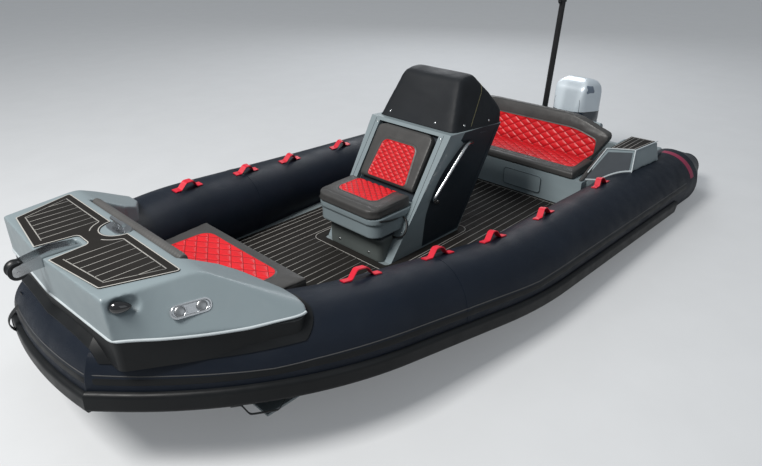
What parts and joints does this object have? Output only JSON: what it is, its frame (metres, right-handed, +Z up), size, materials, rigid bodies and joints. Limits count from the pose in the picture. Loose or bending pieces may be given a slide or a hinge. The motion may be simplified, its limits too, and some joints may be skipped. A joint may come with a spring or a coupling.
{
  "type": "inflatable rib boat",
  "caption": "Rigid inflatable boat with a moulded bow platform, a console with a front seat, a stern bench, a tow pole and an outboard engine.",
  "frame": {"origin": "amidships on the centre plane, at the level of the still water line", "axes": "+X towards the bow, +Y to port, +Z up"},
  "size_m": [5.2677, 2.542, 2.3084],
  "materials": {
    "tube_fabric": "matt coated fabric, near black with a blue cast",
    "strake_rubber": "satin extruded rubber",
    "hull_paint": "powder coated aluminium, grey",
    "gelcoat_grey": "glossy grey moulding",
    "dark_panel": "dark textured panel",
    "deck_foam": "dark closed cell foam with light lines",
    "cushion_vinyl": "dark grey vinyl with red quilted fields",
    "cover_cloth": "black coated cloth",
    "polished_steel": "polished stainless steel",
    "brushed_steel": "brushed stainless steel",
    "black_paint": "satin black",
    "handle_red": "red moulded strap",
    "handle_black": "black strap",
    "lamp_lens": "dark glossy lens",
    "engine_silver": "metallic silver",
    "engine_block": "plain block",
    "roller_rubber": "black roller",
    "propeller_metal": "dark painted aluminium"
  },
  "bodies": {
    "root": {"hull": "hull_paint", "transom": "hull_paint", "deck": "hull_paint", "deck_foam": "deck_foam", "tube_port": "tube_fabric", "tube_starboard": "tube_fabric", "tube_mid_port": "tube_fabric", "tube_mid_starboard": "tube_fabric", "tube_shoulder_port": "tube_fabric", "tube_shoulder_starboard": "tube_fabric", "tube_nose": "tube_fabric", "strake_port": "strake_rubber", "strake_starboard": "strake_rubber", "strake_nose": "strake_rubber", "bow_cap": "gelcoat_grey", "bow_fascia": "strake_rubber", "bow_foam": "deck_foam", "roller_bracket": "polished_steel", "bow_cleat": "polished_steel", "bow_bolster": "cushion_vinyl", "nav_lamps": "lamp_lens", "flush_cleats": "polished_steel", "carry_loops": "handle_black", "tow_eyes": "brushed_steel", "bow_locker": "gelcoat_grey", "console": "gelcoat_grey", "console_panels": "dark_panel", "console_cover": "cover_cloth", "grab_rails": "polished_steel", "seat_base": "gelcoat_grey", "seat_back": "cushion_vinyl", "bench_base": "gelcoat_grey", "bench_back": "cushion_vinyl", "bench_cheeks": "cushion_vinyl", "stern_steps": "gelcoat_grey", "step_foam": "deck_foam", "tow_pole": "black_paint", "clamp_bracket": "engine_silver", "handles_port": "handle_red", "handles_starboard": "handle_red"},
    "bow_lid": {"bow_cushion": "cushion_vinyl"},
    "bow_wheel": {"bow_roller": "roller_rubber"},
    "seat_lid": {"seat_cushion": "cushion_vinyl"},
    "bench_lid": {"bench_cushion": "cushion_vinyl"},
    "bench_door": {"bench_hatch": "gelcoat_grey"},
    "engine_swivel": {"swivel_bracket": "black_paint"},
    "engine": {"engine_leg": "engine_silver", "engine_cowl": "engine_silver", "power_block": "engine_block"},
    "screw": {"propeller": "propeller_metal"}
  },
  "joints": [
    {"name": "bow_locker_lid", "type": "hinge", "parent": "root", "child": "bow_lid", "pos_m": [1.425, 0, 0.452], "axis": [0, -1, 0], "range_deg": [0, 80]},
    {"name": "bow_roller_spin", "type": "hinge", "parent": "root", "child": "bow_wheel", "pos_m": [2.59, 0, 0.862], "axis": [0, 1, 0], "continuous": true},
    {"name": "seat_lid", "type": "hinge", "parent": "root", "child": "seat_lid", "pos_m": [0.74, 0, 0.512], "axis": [0, 1, 0], "range_deg": [0, 85]},
    {"name": "bench_lid", "type": "hinge", "parent": "root", "child": "bench_lid", "pos_m": [-0.986, 0, 0.398], "axis": [0, 1, 0], "range_deg": [0, 85]},
    {"name": "bench_hatch", "type": "hinge", "parent": "root", "child": "bench_door", "pos_m": [-0.99, 0.255, 0.215], "axis": [0, 1, 0], "range_deg": [0, 90]},
    {"name": "engine_tilt", "type": "hinge", "parent": "root", "child": "engine_swivel", "pos_m": [-2.05, 0, 0.33], "axis": [0, 1, 0], "range_deg": [0, 48]},
    {"name": "engine_steer", "type": "hinge", "parent": "engine_swivel", "child": "engine", "pos_m": [-2.165, 0, 0.2], "axis": [0, 0, 1], "range_deg": [-30, 30]},
    {"name": "propeller_spin", "type": "hinge", "parent": "engine", "child": "screw", "pos_m": [-2.535, 0, -0.468], "axis": [1, 0, 0], "continuous": true}
  ]
}
